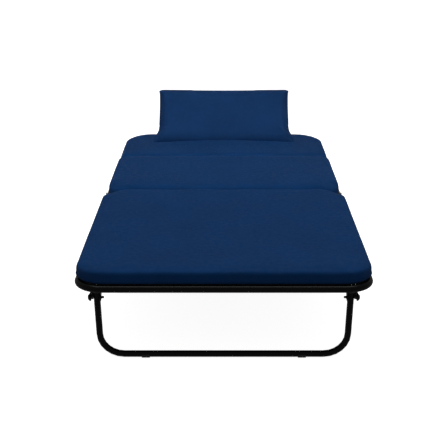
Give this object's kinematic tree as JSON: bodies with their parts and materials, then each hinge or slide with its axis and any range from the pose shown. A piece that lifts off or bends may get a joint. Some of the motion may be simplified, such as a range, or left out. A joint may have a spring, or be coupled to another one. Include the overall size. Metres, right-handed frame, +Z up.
{
  "type": "rollaway bed",
  "caption": "Half-fold rollaway guest bed: bent tube frame on U legs, swivel casters, lifting backrest, three-panel mattress and pillow.",
  "frame": {"origin": "on the floor, under the middle of the bed", "axes": "X across the bed, Y along it with the head at +Y and the foot at -Y, Z up"},
  "size_m": [0.973, 1.905, 0.5455],
  "materials": {
    "black_powder_coat": "gloss black powder coat over steel tube and strip",
    "dark_zinc": "blackened zinc plate",
    "rubber_pad": "matt black rubber",
    "wheel_rubber": "satin black tread",
    "black_plastic": "fine moulded texture",
    "mattress_cover": "smooth navy woven polyester",
    "pillow_cover": "smooth navy woven polyester"
  },
  "bodies": {
    "base": {"base_cross_tube_foot": "black_powder_coat", "base_cross_tube_head": "black_powder_coat", "base_side_left": "black_powder_coat", "base_side_right": "black_powder_coat", "foot_deck_bolt_left": "dark_zinc", "foot_deck_bolt_right": "dark_zinc", "foot_link_bolt_left": "dark_zinc", "foot_link_bolt_right": "dark_zinc", "head_deck_bolt_left": "dark_zinc", "head_deck_bolt_right": "dark_zinc", "head_link_bolt_left": "dark_zinc", "head_link_bolt_right": "dark_zinc"},
    "caster_foot_left_swivel": {"caster_foot_left_fork": "black_powder_coat", "caster_foot_left_axle": "dark_zinc"},
    "caster_foot_left_roll": {"caster_foot_left_wheel": "wheel_rubber"},
    "caster_foot_left_brake": {"caster_foot_left_brake_pedal": "black_plastic"},
    "caster_foot_right_swivel": {"caster_foot_right_fork": "black_powder_coat", "caster_foot_right_axle": "dark_zinc"},
    "caster_foot_right_roll": {"caster_foot_right_wheel": "wheel_rubber"},
    "caster_foot_right_brake": {"caster_foot_right_brake_pedal": "black_plastic"},
    "caster_head_left_swivel": {"caster_head_left_fork": "black_powder_coat", "caster_head_left_axle": "dark_zinc"},
    "caster_head_left_roll": {"caster_head_left_wheel": "wheel_rubber"},
    "caster_head_right_swivel": {"caster_head_right_fork": "black_powder_coat", "caster_head_right_axle": "dark_zinc"},
    "caster_head_right_roll": {"caster_head_right_wheel": "wheel_rubber"},
    "foot_deck": {"foot_frame": "black_powder_coat", "foot_slat_1": "black_powder_coat", "foot_slat_2": "black_powder_coat", "foot_slat_3": "black_powder_coat", "foot_slat_4": "black_powder_coat", "foot_mattress": "mattress_cover"},
    "foot_leg": {"foot_floor_pad_left": "rubber_pad", "foot_floor_pad_right": "rubber_pad", "foot_leg": "black_powder_coat", "foot_leg_bolt_left": "dark_zinc", "foot_leg_bolt_right": "dark_zinc"},
    "foot_links": {"foot_link_rod_left": "black_powder_coat", "foot_link_rod_right": "black_powder_coat"},
    "head_deck": {"head_frame": "black_powder_coat", "seat_slat_1": "black_powder_coat", "seat_slat_2": "black_powder_coat", "seat_slat_3": "black_powder_coat", "seat_mattress": "mattress_cover", "ratchet_hinge_left": "dark_zinc", "ratchet_hinge_right": "dark_zinc"},
    "head_leg": {"head_floor_pad_left": "rubber_pad", "head_floor_pad_right": "rubber_pad", "head_leg": "black_powder_coat", "head_leg_bolt_left": "dark_zinc", "head_leg_bolt_right": "dark_zinc"},
    "head_links": {"head_link_rod_left": "black_powder_coat", "head_link_rod_right": "black_powder_coat"},
    "backrest": {"backrest_frame": "black_powder_coat", "backrest_slat_1": "black_powder_coat", "backrest_slat_2": "black_powder_coat", "backrest_slat_3": "black_powder_coat", "head_mattress": "mattress_cover"},
    "pillow": {"pillow": "pillow_cover"}
  },
  "joints": [
    {"name": "caster_foot_left_swivel", "type": "hinge", "parent": "base", "child": "caster_foot_left_swivel", "pos_m": [-0.43, -0.165, 0.06], "axis": [0, 0, 1], "continuous": true},
    {"name": "caster_foot_left_roll", "type": "hinge", "parent": "caster_foot_left_swivel", "child": "caster_foot_left_roll", "pos_m": [-0.43, -0.183, 0.025], "axis": [1, 0, 0], "continuous": true},
    {"name": "caster_foot_left_brake", "type": "hinge", "parent": "caster_foot_left_swivel", "child": "caster_foot_left_brake", "pos_m": [-0.43, -0.1925, 0.0518], "axis": [1, 0, 0], "range_deg": [0, 12]},
    {"name": "caster_foot_right_swivel", "type": "hinge", "parent": "base", "child": "caster_foot_right_swivel", "pos_m": [0.43, -0.165, 0.06], "axis": [0, 0, 1], "continuous": true},
    {"name": "caster_foot_right_roll", "type": "hinge", "parent": "caster_foot_right_swivel", "child": "caster_foot_right_roll", "pos_m": [0.43, -0.183, 0.025], "axis": [1, 0, 0], "continuous": true},
    {"name": "caster_foot_right_brake", "type": "hinge", "parent": "caster_foot_right_swivel", "child": "caster_foot_right_brake", "pos_m": [0.43, -0.1925, 0.0518], "axis": [1, 0, 0], "range_deg": [0, 12]},
    {"name": "caster_head_left_swivel", "type": "hinge", "parent": "base", "child": "caster_head_left_swivel", "pos_m": [-0.43, 0.165, 0.06], "axis": [0, 0, 1], "continuous": true},
    {"name": "caster_head_left_roll", "type": "hinge", "parent": "caster_head_left_swivel", "child": "caster_head_left_roll", "pos_m": [-0.43, 0.183, 0.025], "axis": [1, 0, 0], "continuous": true},
    {"name": "caster_head_right_swivel", "type": "hinge", "parent": "base", "child": "caster_head_right_swivel", "pos_m": [0.43, 0.165, 0.06], "axis": [0, 0, 1], "continuous": true},
    {"name": "caster_head_right_roll", "type": "hinge", "parent": "caster_head_right_swivel", "child": "caster_head_right_roll", "pos_m": [0.43, 0.183, 0.025], "axis": [1, 0, 0], "continuous": true},
    {"name": "foot_fold", "type": "hinge", "parent": "base", "child": "foot_deck", "pos_m": [0, -0.1, 0.27], "axis": [-1, 0, 0], "range_deg": [0, 90]},
    {"name": "foot_leg_swing", "type": "hinge", "parent": "foot_deck", "child": "foot_leg", "pos_m": [0, -0.871, 0.27], "axis": [-1, 0, 0], "range_deg": [-90, 0]},
    {"name": "foot_link_swing", "type": "hinge", "parent": "base", "child": "foot_links", "pos_m": [0, -0.135, 0.228], "axis": [-1, 0, 0], "range_deg": [0, 90]},
    {"name": "head_fold", "type": "hinge", "parent": "base", "child": "head_deck", "pos_m": [0, 0.1, 0.27], "axis": [1, 0, 0], "range_deg": [0, 90], "deforming": ["pillow"]},
    {"name": "head_leg_swing", "type": "hinge", "parent": "head_deck", "child": "head_leg", "pos_m": [0, 0.871, 0.27], "axis": [1, 0, 0], "range_deg": [-90, 0]},
    {"name": "head_link_swing", "type": "hinge", "parent": "base", "child": "head_links", "pos_m": [0, 0.135, 0.228], "axis": [1, 0, 0], "range_deg": [0, 90]},
    {"name": "backrest_lift", "type": "hinge", "parent": "head_deck", "child": "backrest", "pos_m": [0, 0.55, 0.27], "axis": [-1, 0, 0], "range_deg": [-50, 0]},
    {"name": "pillow_lift", "type": "slide", "parent": "backrest", "child": "pillow", "axis": [0, 0, -1], "range_m": [-0.3, 0]}
  ],
  "couplings": [
    {"joint": "foot_leg_swing", "follows": "foot_fold", "ratio": -1},
    {"joint": "foot_link_swing", "follows": "foot_fold", "ratio": 1},
    {"joint": "head_leg_swing", "follows": "head_fold", "ratio": -1},
    {"joint": "head_link_swing", "follows": "head_fold", "ratio": 1}
  ]
}
